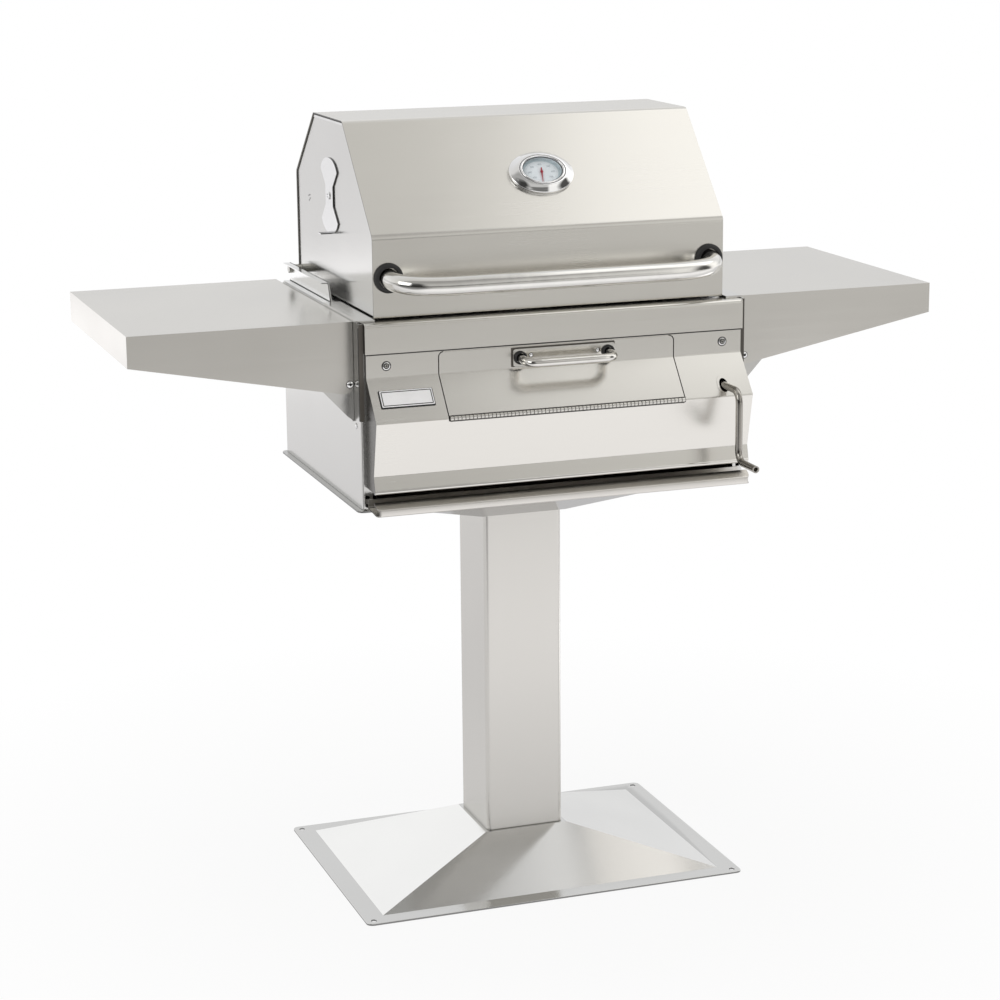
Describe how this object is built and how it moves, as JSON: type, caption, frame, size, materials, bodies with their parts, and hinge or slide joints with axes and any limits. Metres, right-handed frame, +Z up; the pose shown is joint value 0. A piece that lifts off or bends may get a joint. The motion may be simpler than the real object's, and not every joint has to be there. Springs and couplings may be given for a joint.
{
  "type": "pedestal charcoal grill",
  "caption": "Stainless charcoal grill on a square pedestal post, with a hinged hood, folding charcoal door, crank-lifted charcoal tray, ash drawer, dampers and side shelves.",
  "frame": {"origin": "middle of the whole grill's footprint, at the underside of the base plate", "axes": "+X to the user's right, -Y towards the user, +Z up"},
  "size_m": [1.266, 0.62, 1.195],
  "materials": {
    "brushed_steel": "brushed",
    "heat_steel": "dulled",
    "polished_steel": "polished",
    "dark_steel": "dull",
    "brass": "turned",
    "black_rubber": "matte",
    "dial_white": "matte",
    "needle_red": "matte",
    "dial_glass": "clear"
  },
  "bodies": {
    "stand": {"base_plate": "brushed_steel", "post": "brushed_steel", "top_plate": "brushed_steel", "firebox_side_right": "brushed_steel", "firebox_side_left": "brushed_steel", "firebox_floor": "brushed_steel", "firebox_back": "brushed_steel", "firebox_front": "heat_steel", "front_panel": "brushed_steel", "front_trim": "brushed_steel", "liner_right": "heat_steel", "liner_left": "heat_steel", "rear_grid_ledge": "heat_steel", "cooking_grid_right": "polished_steel", "cooking_grid_left": "polished_steel", "hood_hinge_bracket_right": "brushed_steel", "hood_hinge_bracket_left": "brushed_steel", "hood_hinge_bolt_right": "polished_steel", "hood_hinge_bolt_left": "polished_steel", "crank_front_bush": "brass", "crank_rear_bush": "brass", "door_hinge_fixed_leaf": "polished_steel", "door_hinge_pin": "polished_steel", "shelf_right": "brushed_steel", "shelf_left": "brushed_steel", "shelf_front_gusset_right": "brushed_steel", "shelf_front_gusset_left": "brushed_steel", "shelf_rear_gusset_right": "brushed_steel", "shelf_rear_gusset_left": "brushed_steel"},
    "hood": {"hood_wrapper": "brushed_steel", "hood_side_right": "brushed_steel", "hood_side_left": "brushed_steel", "hood_handle": "polished_steel", "hood_handle_grommet_right": "black_rubber", "hood_handle_grommet_left": "black_rubber", "damper_pivot_right": "polished_steel", "damper_pivot_left": "polished_steel", "thermometer_bezel": "polished_steel", "thermometer_dial": "dial_white", "thermometer_lens": "dial_glass", "thermometer_stem": "polished_steel"},
    "charcoal_door": {"charcoal_door": "brushed_steel", "door_hinge_moving_leaf": "polished_steel", "door_handle_plate": "polished_steel", "door_handle": "polished_steel", "door_handle_grommet_right": "black_rubber", "door_handle_grommet_left": "black_rubber"},
    "crank": {"crank_handle": "polished_steel", "lift_screw": "polished_steel"},
    "lift_carriage": {"cam_plate_right": "dark_steel", "cam_plate_left": "dark_steel", "lift_crossbar": "dark_steel", "lift_nut": "brass"},
    "charcoal_tray": {"charcoal_tray": "heat_steel"},
    "ash_drawer": {"ash_drawer_pan": "brushed_steel", "ash_drawer_front": "brushed_steel"},
    "right_damper": {"damper_right": "brushed_steel"},
    "left_damper": {"damper_left": "brushed_steel"},
    "thermometer_needle": {"thermometer_needle": "needle_red"}
  },
  "joints": [
    {"name": "hood_hinge", "type": "hinge", "parent": "stand", "child": "hood", "pos_m": [0, 0.265, 0.942], "axis": [-1, 0, 0], "range_deg": [0, 90]},
    {"name": "charcoal_door_hinge", "type": "hinge", "parent": "stand", "child": "charcoal_door", "pos_m": [0, -0.205, 0.784], "axis": [1, 0, 0], "range_deg": [0, 180]},
    {"name": "crank_turn", "type": "hinge", "parent": "stand", "child": "crank", "pos_m": [0.252, 0.061, 0.799], "axis": [0, 1, 0], "range_deg": [0, 3600]},
    {"name": "lift_carriage_slide", "type": "slide", "parent": "stand", "child": "lift_carriage", "axis": [0, -1, 0], "range_m": [0, 0.08]},
    {"name": "charcoal_tray_lift", "type": "slide", "parent": "stand", "child": "charcoal_tray", "axis": [0, 0, 1], "range_m": [0, 0.08]},
    {"name": "ash_drawer_slide", "type": "slide", "parent": "stand", "child": "ash_drawer", "axis": [0, -1, 0], "range_m": [0, 0.25]},
    {"name": "right_damper_turn", "type": "hinge", "parent": "hood", "child": "right_damper", "pos_m": [0.2738, 0.087, 1.077], "axis": [-1, 0, 0], "range_deg": [0, 90]},
    {"name": "left_damper_turn", "type": "hinge", "parent": "hood", "child": "left_damper", "pos_m": [-0.2738, 0.087, 1.077], "axis": [-1, 0, 0], "range_deg": [0, 90]},
    {"name": "thermometer_needle_turn", "type": "hinge", "parent": "hood", "child": "thermometer_needle", "pos_m": [0.00799, -0.06765, 1.11272], "axis": [0, 0.7317, -0.6816], "range_deg": [0, 270], "stiffness_Nm_per_rad": 0.0005}
  ],
  "couplings": [
    {"joint": "lift_carriage_slide", "follows": "crank_turn", "m_per_rad": 0.001273},
    {"joint": "charcoal_tray_lift", "follows": "crank_turn", "m_per_rad": 0.001273}
  ]
}
